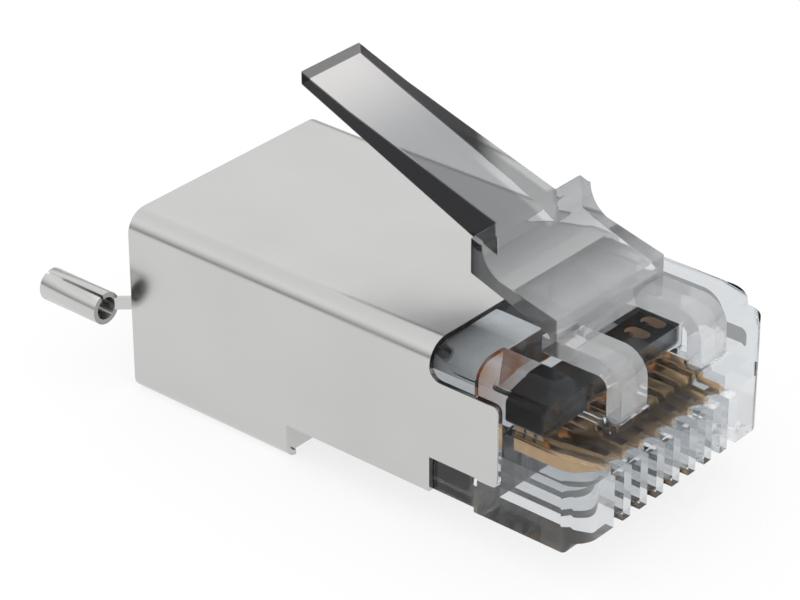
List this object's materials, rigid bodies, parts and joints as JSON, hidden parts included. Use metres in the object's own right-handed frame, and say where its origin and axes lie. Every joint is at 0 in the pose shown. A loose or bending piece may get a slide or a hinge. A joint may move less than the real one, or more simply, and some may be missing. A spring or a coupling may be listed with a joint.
{
  "type": "modular plug",
  "caption": "Shielded clear modular plug with gold contacts, a sprung latch lever and a small drain-wire barrel.",
  "frame": {"origin": "middle of the flat underside behind the step, on the plug's middle plane", "axes": "+Y from the nose towards the cable, +Z towards the latch, +X to the right of someone who looks from the nose towards the cable with the latch up"},
  "size_m": [0.0133, 0.0266, 0.0147],
  "materials": {
    "clear_plastic": "gloss",
    "nickel_sheet": "gloss",
    "gold_plate": "gloss",
    "dark_plastic": "gloss"
  },
  "bodies": {
    "plug": {"housing": "clear_plastic", "shield": "nickel_sheet", "wire_guide": "dark_plastic", "contact_1": "gold_plate", "contact_2": "gold_plate", "contact_3": "gold_plate", "contact_4": "gold_plate", "contact_5": "gold_plate", "contact_6": "gold_plate", "contact_7": "gold_plate", "contact_8": "gold_plate"},
    "latch_lever": {"latch": "clear_plastic"}
  },
  "joints": [
    {"name": "latch_press", "type": "hinge", "parent": "plug", "child": "latch_lever", "pos_m": [0, -0.01823, 0.0064], "axis": [-1, 0, 0], "range_deg": [0, 14], "stiffness_Nm_per_rad": 0.3}
  ]
}
